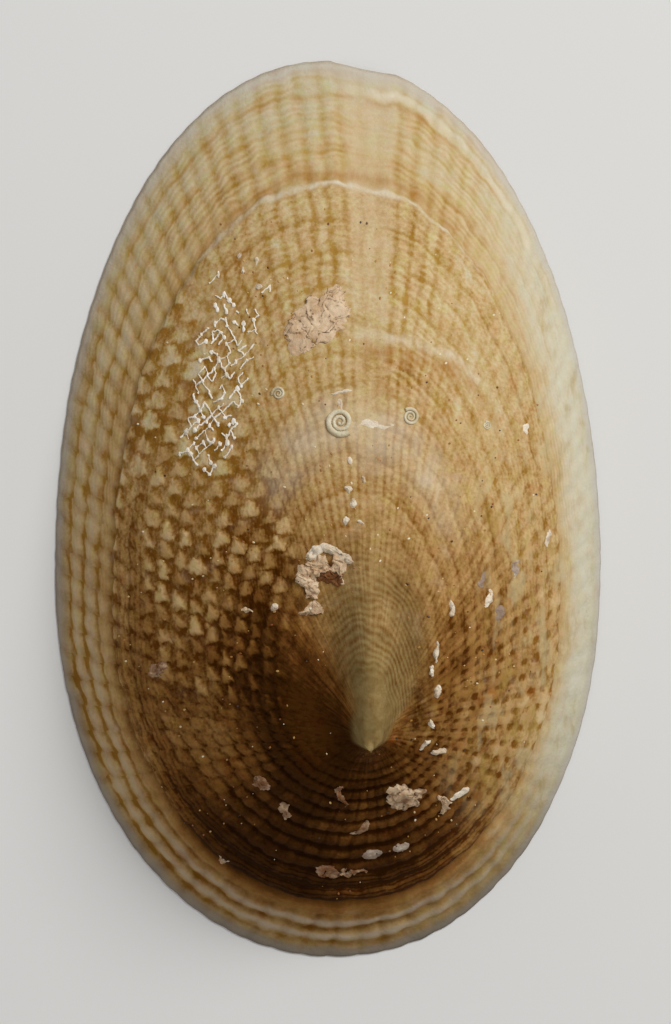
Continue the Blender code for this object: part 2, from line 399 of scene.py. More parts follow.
class Lattice:
    """The net of beads, with each place's share of the front, right, back and left flank."""

    def __init__(self, rib, ring, side, facing, place, ribs):
        ahead = facing * 2.0 - 1.0
        flanks = [calc("MAXIMUM", value, 0.0) for value in (ahead, side, -ahead, -side)]
        self.flanks = [flank * flank for flank in flanks]
        self.not_left = vector(rib.tree, *self.flanks[:3])
        self.rim = smooth(ring, LEDGE_LIP, LEDGE_FOOT)
        self.quiet = smooth(ring, 0.69, 0.72) * fade(ring, 0.79, LEDGE_LIP)
        self.slit = smooth(rib, BAND_FROM - BAND_BLUR, BAND_FROM + BAND_BLUR)
        self.slit = self.slit * fade(rib, BAND_TO - BAND_BLUR, BAND_TO + BAND_BLUR)
        self.shown = smooth(ring, 0.1, 0.42)
        nearest_rib = calc("ROUND", rib)
        slant = BEAD_SLANT * (1.0 - 0.6 * self.rim) * smooth(-side, 0.0, 0.6) * smooth(facing, 0.2, 0.45)
        cord_count = cord_number(ring) + slant * (rib - nearest_rib)
        bead = vector(rib.tree, calc("FLOORED_MODULO", nearest_rib, ribs), calc("ROUND", cord_count), 0.0)
        chance = add(rib.tree, "ShaderNodeTexWhiteNoise", {"Vector": bead}, noise_dimensions="2D")
        self.chance = out(chance)
        self.rib = crest(rib)
        self.cord = crest(cord_count)
        self.cord_count = cord_count
        self.pit = fade(self.rib, 0.2, 0.6) * fade(self.cord, 0.25, 0.85)

        # on the left flank, teeth stand in columns along the rings and point forward
        self.toothed = smooth(-side, 0.1, 0.5) * smooth(facing, 0.45, 0.7)
        self.toothed = self.toothed * fade(facing, 0.955, 0.988) * smooth(ring, 0.16, 0.36)
        self.toothed = self.toothed * (1.0 - self.rim)
        self.toothed = self.toothed * (1.0 - 0.8 * self.quiet * fade(facing, 0.8, 0.92))
        east, north, high = parts_of(place)
        column = ring**0.7 / TOOTH_COLUMN + 0.26 * noise(place, 1500.0)
        column_number = calc("ROUND", column)
        row = north / (TOOTH_ROW * (0.5 + 0.03 * column_number))
        row = row + 0.5 * calc("FLOORED_MODULO", column_number, 2.0)
        row = row + 0.3 * noise(vector(rib.tree, high, east, north), 1500.0)
        cell = vector(rib.tree, column_number, calc("ROUND", row), 0.0)
        cell_chance = add(rib.tree, "ShaderNodeTexWhiteNoise", {"Vector": cell}, noise_dimensions="2D")
        first, second, third = parts_of(out(cell_chance, "Color"))
        up = row - calc("ROUND", row) + 0.16 * (second - 0.5)
        offset = column - column_number + 0.16 * (first - 0.5) - 0.3 * up
        width = 0.24 - 0.4 * up + 0.12 * (third - 0.5)
        self.tooth = smooth(width - absolute(offset), -0.26, 0.22)
        self.tooth = self.tooth * smooth(up, -0.56, -0.2)
        tooth_pit = fade(absolute(offset + 0.12), 0.06, 0.34) * smooth(absolute(up), 0.28, 0.46)
        self.pit = mix(self.toothed, self.pit, tooth_pit)
        self.chance = mix(self.toothed, self.chance, third)

    def share(self, front, right, back, left):
        """A value that differs between the four flanks, and changes smoothly round the shell."""
        others = dot(self.not_left, (front, right, back))
        return calc("MULTIPLY_ADD", self.flanks[3], left, others) if left else others

    def corner(self, one, other):
        """1 halfway between two flanks, 0 in the middle of either; 0 front, then clockwise."""
        return self.flanks[one] * self.flanks[other] * 4.0


# ---------------------------------------------------------------- geometry trees


def new_tree(name, sockets):
    """A geometry tree with named inputs; returns it and its input wires by name."""
    tree = bpy.data.node_groups.new(name, "GeometryNodeTree")
    tree.interface.new_socket("Geometry", in_out="OUTPUT", socket_type="NodeSocketGeometry")
    for socket, kind, default in sockets:
        made = tree.interface.new_socket(socket, in_out="INPUT", socket_type=kind)
        if default is not None:
            made.default_value = default
    entry = tree.nodes.new("NodeGroupInput")
    return tree, {socket: out(entry, socket) for socket, _, _ in sockets}


def set_material(geometry, material, where=True):
    inputs = {"Geometry": geometry, "Selection": where, "Material": material}
    return out(add(geometry.tree, "GeometryNodeSetMaterial", inputs))


def shaded_smooth(geometry):
    return out(add(geometry.tree, "GeometryNodeSetShadeSmooth", {"Geometry": geometry}))


def close_tree(geometry, material, lining=None, lined=None):
    """Realizes instances, sets the material, or two, and leads to the output."""
    tree = geometry.tree
    made = out(add(tree, "GeometryNodeRealizeInstances", {"Geometry": geometry}))
    made = set_material(made, material)
    if lining:
        made = set_material(made, lining, lined)
    leave = tree.nodes.new("NodeGroupOutput")
    tree.links.new(made.socket, leave.inputs["Geometry"])


def grown(name, tree, values, seeds):
    """Runs a geometry tree once, on a mesh of seeds, and keeps the result as a mesh."""
    seed = bpy.data.objects.new(name + "_seed", seeds)
    bpy.context.scene.collection.objects.link(seed)
    modifier = seed.modifiers.new("grow", "NODES")
    modifier.node_group = tree
    for item in tree.interface.items_tree:
        if item.item_type == "SOCKET" and item.in_out == "INPUT" and item.name in values:
            modifier[item.identifier] = values[item.name]
    graph = bpy.context.evaluated_depsgraph_get()
    mesh = bpy.data.meshes.new_from_object(
        seed.evaluated_get(graph), preserve_all_data_layers=True, depsgraph=graph
    )
    bpy.data.objects.remove(seed, do_unlink=True)
    if not mesh.polygons:
        raise RuntimeError(name + " came out empty")
    mesh.name = name
    piece = bpy.data.objects.new(name, mesh)
    bpy.context.scene.collection.objects.link(piece)
    return piece


def set_position(geometry, **moves):
    inputs = {"Geometry": geometry}
    inputs.update({key.capitalize(): value for key, value in moves.items()})
    return out(add(geometry.tree, "GeometryNodeSetPosition", inputs))


def store(geometry, name, value, kind="FLOAT", domain="POINT"):
    inputs = {"Geometry": geometry, "Name": name, "Value": value}
    kinds = {"data_type": kind, "domain": domain}
    return out(add(geometry.tree, "GeometryNodeStoreNamedAttribute", inputs, **kinds))


def stored(tree, name, kind="FLOAT"):
    return out(add(tree, "GeometryNodeInputNamedAttribute", {"Name": name}, data_type=kind))


def oval_curve(tree, length, width, sway):
    """The margin as a closed curve that starts at the front and runs counter-clockwise."""
    steps = 1440
    circle = out(add(tree, "GeometryNodeCurvePrimitiveCircle", {"Resolution": steps}))
    turn = out(tree.nodes.new("GeometryNodeInputIndex")) * (2.0 * math.pi / steps)
    power = 2.0 / OVAL_POWER
    sine = calc("SINE", turn)
    cosine = calc("COSINE", turn)
    across = -(calc("SIGN", sine) * absolute(sine) ** power)
    along = calc("SIGN", cosine) * absolute(cosine) ** power
    front = calc("GREATER_THAN", along, 0.0)
    half = length * 0.5
    y = length * WIDEST_Y + along * mix(front, half + length * WIDEST_Y, half - length * WIDEST_Y)
    back = calc("MAXIMUM", -y, 0.0) / half
    x = across * (width * 0.5) + sway * back**3.0
    notch = notch_shape(x) * front
    return set_position(circle, position=vector(tree, x, y - notch * NOTCH_INSET, 0.0))


def notch_shape(x):
    """1 in the middle of the notch, 0 past its ends."""
    away = (x - NOTCH_X) / NOTCH_HALF_WIDTH
    return calc("MAXIMUM", 1.0 - away * away, 0.0)


def front_profile(ring):
    return 1.0 - ring**FRONT_BULGE - HOOK_DROP * calc("EXPONENT", -(ring / HOOK_RING))


def back_profile(ring):
    under = ring / UNDERCUT_RING * calc("EXPONENT", 1.0 - ring / UNDERCUT_RING)
    slope = (1.0 - ring) * (1.0 - ring * BACK_HOLLOW)
    return slope - under * UNDERCUT - HOOK_DROP * calc("EXPONENT", -(ring / HOOK_RING))


def square_grid(tree, columns, rows):
    """A grid of side 1 with that many faces across and along."""
    inputs = {"Size X": 1.0, "Size Y": 1.0, "Vertices X": columns + 1.0, "Vertices Y": rows + 1.0}
    return out(add(tree, "GeometryNodeMeshGrid", inputs))


def growth_tree():
    """The whole shell from one sheet: out over the outside, round the rim and up the inside."""
    tree, given = new_tree(
        "Grow shell",
        [
            ("Columns", "NodeSocketInt", 740),
            ("Outer rows", "NodeSocketInt", 114),
            ("Inner rows", "NodeSocketInt", 16),
            ("Rim rows", "NodeSocketInt", 3),
            ("Length", "NodeSocketFloat", LENGTH),
            ("Width", "NodeSocketFloat", WIDTH),
            ("Height", "NodeSocketFloat", HEIGHT),
            ("Tail sway", "NodeSocketFloat", TAIL_SWAY),
            ("Rim width", "NodeSocketFloat", 1.0 * MM),
            ("Crown wall", "NodeSocketFloat", 1.5 * MM),
            ("Ribs", "NodeSocketFloat", 94.0),
            ("Rib height", "NodeSocketFloat", 0.14 * MM),
            ("Cord height", "NodeSocketFloat", 0.16 * MM),
            ("Pit depth", "NodeSocketFloat", 0.12 * MM),
            ("Ledge height", "NodeSocketFloat", 0.22 * MM),
            ("Wobble", "NodeSocketFloat", 0.25),
            ("Outside", "NodeSocketMaterial", None),
            ("Inside", "NodeSocketMaterial", None),
        ],
    )
    length, width, height = given["Length"], given["Width"], given["Height"]
    rows = given["Outer rows"] + given["Rim rows"] + given["Inner rows"]
    sheet = square_grid(tree, given["Columns"], rows)
    grid_x, grid_y, _ = parts_of(position(tree))
    part = grid_x + 0.5
    row = (grid_y + 0.5) * rows
    outward = calc("MINIMUM", row / given["Outer rows"], 1.0)
    inward = calc("MINIMUM", (rows - row) / given["Inner rows"], 1.0)
    ring = calc("MINIMUM", outward, inward) ** ROW_CROWDING
    step = (row - given["Outer rows"]) / given["Rim rows"]
    step = calc("MINIMUM", calc("MAXIMUM", step, 0.0), 1.0)
    inset = step - RIM_EASING * calc("SINE", step * (2.0 * math.pi))

    # smooth dome
    inputs = {"Curves": oval_curve(tree, length, width, given["Tail sway"]), "Factor": part}
    margin = add(tree, "GeometryNodeSampleCurve", inputs, mode="FACTOR")
    margin_x, margin_y, _ = parts_of(out(margin, "Position"))
    edge_x = margin_x - width * APEX_X
    edge_y = margin_y - length * APEX_Y
    reach = calc("SQRT", edge_x * edge_x + edge_y * edge_y)
    side = edge_x / reach
    facing = edge_y / reach * 0.5 + 0.5
    behind = 1.0 - facing
    true_ring = ring - BACK_LAG * behind * behind * ring * (1.0 - ring)
    hook = HOOK_REACH * calc("EXPONENT", -(true_ring / HOOK_RING))
    ahead = true_ring * edge_y
    beak_width = BEAK_TIP_WIDTH + BEAK_WIDENING * calc("MAXIMUM", ahead, 0.0)
    across = true_ring * edge_x / calc("MINIMUM", beak_width, BEAK_WIDTH)
    aback = calc("MINIMUM", ahead, 0.0) / BEAK_BACK
    beak = calc("EXPONENT", -(across * across + aback * aback))
    cap_middle = CAP_SHIFT * smooth(ahead, 0.0, CAP_SHIFT_REACH)
    cap_width = CAP_TIP_WIDTH + CAP_WIDENING * calc("MAXIMUM", ahead, 0.0)
    cap = ((true_ring * edge_x - cap_middle) / cap_width) ** 4.0 + aback * aback
    frontness = mix(smooth(true_ring, 0.06, BEAK_RING), beak, facing**SIDE_FULLNESS)
    profile = mix(frontness, back_profile(true_ring), front_profile(true_ring))
    x = width * APEX_X + true_ring * edge_x
    y = length * APEX_Y + true_ring * edge_y - hook
    z = height * profile / crown_share()
    lift = notch_shape(margin_x) * calc("GREATER_THAN", margin_y, 0.0) * smooth(ring, 0.95, 1.0)
    rounding = absolute(inset * 2.0 - 1.0) ** 8.0 * smooth(ring, 0.97, 1.0)
    shrink_x = 1.0 - inset * 2.0 * given["Rim width"] / width
    shrink_y = 1.0 - inset * 2.0 * given["Rim width"] / length
    shrink_z = 1.0 - inset * given["Crown wall"] / height
    z = z * shrink_z + lift * NOTCH_HEIGHT + rounding * RIM_ROUNDING
    dome = vector(tree, x * shrink_x, y * shrink_y, z)

    # growth coordinates
    angle = part * (2.0 * math.pi)
    shift = FRONT_CROWDING * calc("SINE", angle) + RIGHT_CROWDING * (calc("COSINE", angle) - 1.0)
    rib = given["Ribs"] * (part + shift / (2.0 * math.pi))
    wander = noise(dome, 650.0, 2.0)
    drift = noise(vector(tree, y, z, x), 600.0, 2.0)
    rib = rib + given["Wobble"] * smooth(ring, 0.0, 0.3) * (1.3 * wander + noise(dome, 200.0))
    pattern_ring = ring + given["Wobble"] * 0.055 * (drift + 0.6 * noise(dome, 180.0))
    ladder = mix(
        calc("GREATER_THAN", inset, 0.999),
        pattern_ring + inset * (INSIDE_FROM - 1.0),
        INSIDE_FROM + (1.0 - ring) * (2.0 - INSIDE_FROM),
    )
    growth = vector(tree, rib / given["Ribs"], ladder, 0.0)

    # relief
    net = Lattice(rib, pattern_ring, side, facing, dome, given["Ribs"])
    knobs = net.share(1.0, 1.0, 0.0, 0.6) + net.share(0.0, 0.0, 1.0, 0.4) * smooth(ring, 0.85, 0.875)
    ribs_here = mix(net.rim, net.share(0.3, 0.1, 0.15, 0.15), net.share(0.5, 0.35, 0.8, 0.35) * knobs)
    cords_here = mix(net.rim, net.share(0.05, 0.3, 0.9, 0.6), net.share(0.1, 0.2, 1.3, 0.8) * knobs)
    beads = given["Rib height"] * ribs_here * ring * (smooth(net.rib, 0.0, 0.85) - 0.5)
    beads = beads + given["Cord height"] * cords_here * (smooth(net.cord, 0.0, 0.7) - 0.5)
    beads = beads * (1.0 - 0.85 * net.toothed)
    pits_here = net.share(0.0, 0.5, 0.4, 0.6) * (1.0 - net.rim)
    beads = beads - given["Pit depth"] * (pits_here * net.pit - net.toothed * (net.tooth - 0.3))
    beads = beads * (0.7 + 0.6 * net.chance)
    beads = beads * net.shown * (1.0 - 0.75 * net.slit) * (1.0 - 0.6 * net.quiet)
    beads = beads * (1.0 - 0.5 * smooth(ring, 0.93, 1.0))
    ledge = given["Ledge height"] * smooth(ring, 0.45, LEDGE_LIP)
    ledge = ledge * fade(pattern_ring, LEDGE_LIP, LEDGE_FOOT)
    groove = 0.7 * hump(pattern_ring, LEDGE_FOOT, 0.005) + 0.4 * hump(pattern_ring, 0.765, 0.005)
    groove = groove * given["Cord height"] * net.share(0.3, 0.7, 1.0, 1.0)
    uneven = 0.04 * MM * noise(dome, 500.0, 3.0) + 0.12 * MM * noise(dome, 90.0)
    relief = beads + ledge - groove + uneven * smooth(ring, 0.0, 0.3)
    relief = relief * fade(inset, 0.0, 0.12)

    made = store(sheet, "growth", growth, "FLOAT2", "CORNER")
    made = store(made, "inside", calc("GREATER_THAN", step, 0.5), "FLOAT", "FACE")
    made = store(made, "facing", facing)
    made = store(made, "side", side)
    made = store(made, "ring", ring)
    made = store(made, "outer", fade(inset, 0.0, 0.1))
    made = store(made, "cap", calc("EXPONENT", -cap) * fade(true_ring, 0.16, 0.34))
    made = store(made, "relief", relief)
    made = store(made, "levelness", smooth(ring, 0.95, 1.0))
    made = set_position(made, position=dome)
    made = out(add(tree, "GeometryNodeMergeByDistance", {"Geometry": made, "Distance": 0.002 * MM}))
    made = out(add(tree, "GeometryNodeFlipFaces", {"Mesh": made}))
    normal_x, normal_y, normal_z = parts_of(out(tree.nodes.new("GeometryNodeInputNormal")))
    amount = stored(tree, "relief")
    level = 1.0 - stored(tree, "levelness")
    push = vector(tree, normal_x * amount, normal_y * amount, normal_z * amount * level)
    made = set_position(made, offset=push)
    inputs = {"A": stored(tree, "inside"), "B": 0.5}
    inside = out(add(tree, "FunctionNodeCompare", inputs, operation="GREATER_THAN"))
    close_tree(shaded_smooth(made), given["Outside"], given["Inside"], inside)
    return tree


# ---------------------------------------------------------------- growths on the shell


def seed_mesh(name, ribs, seeds):
    """Loose points in growth coordinates, each with a size, a heading and a tone."""
    mesh = bpy.data.meshes.new(name)
    mesh.from_pydata([(seed[0] / ribs, seed[1], 0.0) for seed in seeds], [], [])
    sizes = [extent * MM for seed in seeds for extent in seed[2]]
    mesh.attributes.new("size", "FLOAT_VECTOR", "POINT").data.foreach_set("vector", sizes)
    headings = [math.radians(seed[3]) for seed in seeds]
    mesh.attributes.new("heading", "FLOAT", "POINT").data.foreach_set("value", headings)
    tones = [seed[4] for seed in seeds]
    mesh.attributes.new("tone", "FLOAT", "POINT").data.foreach_set("value", tones)
    return mesh


def random(tree, kind, seed, *limits):
    """A random number, vector or choice at each element, between limits or by a chance."""
    first, result = {"FLOAT_VECTOR": (0, 0), "FLOAT": (2, 1), "BOOLEAN": (6, 3)}[kind]
    inputs = {first + place: limit for place, limit in enumerate(limits)}
    made = add(tree, "FunctionNodeRandomValue", {**inputs, "Seed": seed}, data_type=kind)
    return out(made, result)


def shell_geometry(tree, shell):
    return out(add(tree, "GeometryNodeObjectInfo", {"Object": shell}), "Geometry")


def growth_place(shell, place):
    """The place on the shell's outside with the given growth coordinates."""
    tree = shell.tree
    inputs = {
        "Mesh": shell,
        "Value": position(tree),
        "UV Map": stored(tree, "growth", "FLOAT_VECTOR"),
        "Sample UV": place,
    }
    return out(add(tree, "GeometryNodeSampleUVSurface", inputs, data_type="FLOAT_VECTOR"))


def drape(geometry, shell, lift=0.0):
    """Lays geometry that was made flat on the shell; its z becomes height over the surface."""
    tree = geometry.tree
    x, y, height = parts_of(position(tree))
    inputs = {
        "Target Geometry": shell,
        "Source Position": vector(tree, x, y, 0.05),
        "Ray Direction": (0.0, 0.0, -1.0),
        "Ray Length": 0.1,
    }
    plumb = add(tree, "GeometryNodeRaycast", inputs)
    foot = parts_of(out(plumb, "Hit Position"))
    normal = parts_of(out(plumb, "Hit Normal"))
    height = height + lift
    return set_position(geometry, position=vector(tree, *[f + n * height for f, n in zip(foot, normal)]))


def flat_place(shell):
    """The growth coordinates in a point's position, as a place on the ground plane."""
    x, y, _ = parts_of(growth_place(shell, position(shell.tree)))
    return vector(shell.tree, x, y, 0.0)


def instances(points, shape):
    """A copy of a shape at each seed, turned by its heading and scaled by its size."""
    tree = points.tree
    turn = add(tree, "FunctionNodeEulerToRotation", {0: vector(tree, 0.0, 0.0, stored(tree, "heading"))})
    inputs = {
        "Points": points,
        "Instance": shape,
        "Rotation": out(turn),
        "Scale": stored(tree, "size", "FLOAT_VECTOR"),
    }
    made = add(tree, "GeometryNodeInstanceOnPoints", inputs)
    return out(add(tree, "GeometryNodeRealizeInstances", {"Geometry": out(made)}))


def lumps_tree():
    """Ragged lumps that sit on the shell, one at each seed."""
    tree, given = new_tree(
        "Encrust",
        [
            ("Seeds", "NodeSocketGeometry", None),
            ("Shell", "NodeSocketObject", None),
            ("Detail", "NodeSocketInt", 5),
            ("Raggedness", "NodeSocketFloat", 1.1 * MM),
            ("Knobs", "NodeSocketFloat", 1.8),
            ("Material", "NodeSocketMaterial", None),
        ],
    )
    shell = shell_geometry(tree, given["Shell"])
    ball = add(tree, "GeometryNodeMeshIcoSphere", {"Radius": 1.0, "Subdivisions": given["Detail"]})
    points = set_position(given["Seeds"], position=flat_place(shell))
    made = instances(points, out(ball))
    place = position(tree)
    x, y, z = parts_of(place)
    plan = vector(tree, x, y, 0.0)
    ragged = given["Raggedness"]
    coarse = noise(plan, 700.0, 2.0)
    x = x + ragged * (noise(plan, 900.0, 2.0) + 0.22 * noise(plan, 3600.0))
    y = y + ragged * (coarse + 0.22 * noise(vector(tree, y, x, 0.003), 3600.0))
    knobs = 1.0 + given["Knobs"] * (noise(plan, 2100.0, 3.0, 0.6) + 0.5 * coarse)
    z = calc("MAXIMUM", z * knobs - 0.05 * MM, -0.12 * MM)
    made = store(made, "thickness", z / MM)
    made = set_position(made, position=vector(tree, x, y, z))
    made = drape(made, shell)
    close_tree(shaded_smooth(made), given["Material"])
    return tree


def worms_tree():
    """Coiled chalk tubes, one at each seed, wider towards the mouth."""
    tree, given = new_tree(
        "Coil worm tubes",
        [
            ("Seeds", "NodeSocketGeometry", None),
            ("Shell", "NodeSocketObject", None),
            ("Turns", "NodeSocketFloat", 2.3),
            ("Material", "NodeSocketMaterial", None),
        ],
    )
    shell = shell_geometry(tree, given["Shell"])
    line = out(add(tree, "GeometryNodeCurvePrimitiveLine"))
    line = out(add(tree, "GeometryNodeResampleCurve", {"Curve": line, "Count": 110}))
    grown_share = out(tree.nodes.new("GeometryNodeSplineParameter"), "Factor")
    angle = grown_share * given["Turns"] * (2.0 * math.pi)
    reach = 0.08 + 0.74 * grown_share
    bore = 0.09 + 0.1 * grown_share
    bore = bore * (1.0 + 0.06 * calc("SINE", angle * 14.0))
    coil = vector(tree, reach * calc("COSINE", angle), reach * calc("SINE", angle), bore * 0.3)
    line = set_position(line, position=coil)
    ring = out(add(tree, "GeometryNodeCurvePrimitiveCircle", {"Resolution": 12, "Radius": 1.0}))
    inputs = {"Curve": line, "Profile Curve": ring, "Scale": bore, "Fill Caps": True}
    tube = out(add(tree, "GeometryNodeCurveToMesh", inputs))
    made = instances(set_position(given["Seeds"], position=flat_place(shell)), tube)
    made = drape(made, shell)
    close_tree(shaded_smooth(made), given["Material"])
    return tree


def threads_tree():
    """A torn lace of chalky threads that runs between the teeth, with small blobs on it."""
    tree, given = new_tree(
        "Weave threads",
        [
            ("Shell", "NodeSocketObject", None),
            ("Middle", "NodeSocketVector", (0.0, 0.0, 0.0)),
            ("Meshes", "NodeSocketInt", 34),
            ("Mesh width", "NodeSocketFloat", 0.3 * MM),
            ("Mesh height", "NodeSocketFloat", 0.38 * MM),
            ("Half width", "NodeSocketFloat", 1.9 * MM),
            ("Half height", "NodeSocketFloat", 5.8 * MM),
            ("Lean", "NodeSocketFloat", 0.22),
            ("Gaps", "NodeSocketFloat", 0.54),
            ("Thickness", "NodeSocketFloat", 0.045 * MM),
            ("Seed", "NodeSocketInt", 4),
            ("Material", "NodeSocketMaterial", None),
        ],
    )
    shell = shell_geometry(tree, given["Shell"])
    meshes, seed = given["Meshes"], given["Seed"]
    middle_x, middle_y, _ = parts_of(growth_place(shell, given["Middle"]))
    net = square_grid(tree, meshes, meshes)
    x, y, _ = parts_of(position(tree))
    shake = random(tree, "FLOAT_VECTOR", seed, (-1.0, -1.0, -1.0), (1.0, 1.0, 1.0))
    shake_x, shake_y, _ = parts_of(shake)
    strip_x = (meshes * (x - y) + 0.4 * shake_x) * given["Mesh width"]
    strip_y = (meshes * (x + y) + 0.4 * shake_y) * given["Mesh height"]
    lean_x = strip_x + given["Lean"] * strip_y
    net = set_position(net, position=vector(tree, middle_x + lean_x, middle_y + strip_y, 0.0))
    plan = position(tree)
    far_x, far_y, _ = parts_of(plan)
    far_y = far_y - middle_y
    far_x = absolute(far_x - middle_x - given["Lean"] * far_y) / given["Half width"]
    far = calc("MAXIMUM", far_x, absolute(far_y) / given["Half height"])
    torn = far + 0.7 * noise(plan, 500.0, 2.0)
    inputs = {"Geometry": net, "Selection": calc("GREATER_THAN", torn, 1.0)}
    net = out(add(tree, "GeometryNodeDeleteGeometry", inputs, domain="POINT"))
    missing = given["Gaps"] + 0.5 * noise(plan, 420.0, 2.0)
    inputs = {"Geometry": net, "Selection": random(tree, "BOOLEAN", seed + 1, missing)}
    net = out(add(tree, "GeometryNodeDeleteGeometry", inputs, domain="EDGE"))
    lines = out(add(tree, "GeometryNodeMeshToCurve", {"Mesh": net}))
    inputs = {"Curve": lines, "Length": 0.07 * MM}
    lines = out(add(tree, "GeometryNodeResampleCurve", inputs, mode="LENGTH"))
    wiggle = 0.16 * MM * noise(plan, 3200.0, 3.0, 0.6)
    sway = 0.16 * MM * noise(vector(tree, *parts_of(plan)[::-1]), 3200.0, 3.0, 0.6)
    lines = set_position(lines, offset=vector(tree, wiggle, sway, 0.0))
    thick = calc("MAXIMUM", 1.0 + 1.6 * noise(plan, 2600.0, 2.0), 0.35) * given["Thickness"]
    ring = out(add(tree, "GeometryNodeCurvePrimitiveCircle", {"Resolution": 7, "Radius": 1.0}))
    inputs = {"Curve": lines, "Profile Curve": ring, "Scale": thick, "Fill Caps": True}
    threads = out(add(tree, "GeometryNodeCurveToMesh", inputs))

    ball = out(add(tree, "GeometryNodeMeshIcoSphere", {"Radius": 1.0, "Subdivisions": 3}))
    keep = random(tree, "BOOLEAN", seed + 2, 0.5)
    size = random(tree, "FLOAT_VECTOR", seed + 3, BLOB_SMALLEST, BLOB_LARGEST)
    inputs = {"Points": net, "Selection": keep, "Instance": ball, "Scale": size}
    blobs = out(add(tree, "GeometryNodeInstanceOnPoints", inputs))
    blobs = out(add(tree, "GeometryNodeRealizeInstances", {"Geometry": blobs}))
    lump = 0.09 * MM * noise(plan, 5200.0, 2.0)
    lump_y = 0.09 * MM * noise(vector(tree, *parts_of(plan)[::-1]), 5200.0, 2.0)
    blobs = set_position(blobs, offset=vector(tree, lump, lump_y, 0.0))
    both = tree.nodes.new("GeometryNodeJoinGeometry")
    tree.links.new(threads.socket, both.inputs[0])
    tree.links.new(blobs.socket, both.inputs[0])
    made = drape(out(both), shell, 0.02 * MM)
    close_tree(shaded_smooth(made), given["Material"])
    return tree


def grit_tree():
    """Small grains strewn over the worn part of the shell; the pale ones are partly painted glints of
    light.
    """
    tree, given = new_tree(
        "Strew grit",
        [
            ("Shell", "NodeSocketObject", None),
            ("Density", "NodeSocketFloat", 900000.0),
            ("Smallest", "NodeSocketFloat", 0.025 * MM),
            ("Largest", "NodeSocketFloat", 0.075 * MM),
            ("Seed", "NodeSocketInt", 7),
            ("Material", "NodeSocketMaterial", None),
        ],
    )
    shell = shell_geometry(tree, given["Shell"])
    seed = given["Seed"]
    ring = stored(tree, "ring")
    worn = smooth(ring, 0.1, 0.2) * fade(ring, 0.66, 0.86)
    clusters = smooth(noise(position(tree), 240.0), -0.25, 0.5)
    worn = worn * stored(tree, "outer") * (0.1 + 0.9 * clusters)
    inputs = {"Mesh": shell, "Density": given["Density"] * worn, "Seed": seed}
    points = add(tree, "GeometryNodeDistributePointsOnFaces", inputs, distribute_method="RANDOM")
    ball = out(add(tree, "GeometryNodeMeshIcoSphere", {"Radius": 1.0, "Subdivisions": 2}))
    size = random(tree, "FLOAT", seed + 1, given["Smallest"], given["Largest"])
    grains = store(out(points, "Points"), "tone", random(tree, "FLOAT", seed + 2, 0.0, 1.0))
    inputs = {
        "Points": grains,
        "Instance": ball,
        "Rotation": out(points, "Rotation"),
        "Scale": vector(tree, size, size * 1.6, size * 0.7),
    }
    made = out(add(tree, "GeometryNodeInstanceOnPoints", inputs))
    close_tree(made, given["Material"])
    return tree


# ---------------------------------------------------------------- materials


def new_material(name):
    """An empty material with a Principled BSDF."""
    material = bpy.data.materials.new(name)
    material.use_nodes = True
    tree = material.node_tree
    return material, tree, tree.nodes["Principled BSDF"]


def rough(surface, height):
    """Bumps as high as the given millimetres."""
    relief = add(height.tree, "ShaderNodeBump", {"Height": height, "Strength": 1.0, "Distance": MM})
    height.tree.links.new(relief.outputs[0], surface.inputs["Normal"])


def ramp(factor, stops):
    """A colour from a row of (place, colour) stops."""
    made = add(factor.tree, "ShaderNodeValToRGB", {"Fac": factor})
    scale = made.color_ramp
    while len(scale.elements) < len(stops):
        scale.elements.new(0.5)
    for element, (place, colour) in zip(scale.elements, stops):
        element.position = place
        element.color = colour
    return out(made, "Color")


def palette(factor, colours):
    return ramp(factor, [(place, paint(*colour)) for place, colour in colours])


def blend(factor, low, high):
    """One colour over another."""
    tree = factor.tree
    inputs = {"Factor": factor, 6: low, 7: high}
    made = add(tree, "ShaderNodeMix", inputs, data_type="RGBA", clamp_factor=True)
    return out(made, 2)


def tinted(colour, tint):
    """A colour multiplied by a tint."""
    inputs = {"Factor": 1.0, 6: colour, 7: tint}
    made = add(colour.tree, "ShaderNodeMix", inputs, data_type="RGBA", blend_type="MULTIPLY")
    return out(made, 2)


def attribute(tree, name, output="Fac"):
    return out(add(tree, "ShaderNodeAttribute", attribute_name=name), output)


def how_brown(net, ring):
    """0 on the pale rim to 1 in the darkest brown, before the patches and streaks."""
    weights = [*net.flanks, *[net.corner(*pair) for pair in BROWN_CORNERS], 0.0]
    parts = []
    for first in range(0, len(BROWN), 3):
        group = slice(first, first + 3)
        stops = [(place, (*values, 1.0)) for place, values in zip(BROWN_RINGS, zip(*BROWN[group]))]
        parts.append(dot(ramp(ring, stops), vector(ring.tree, *weights[group])))
    return sum(parts)


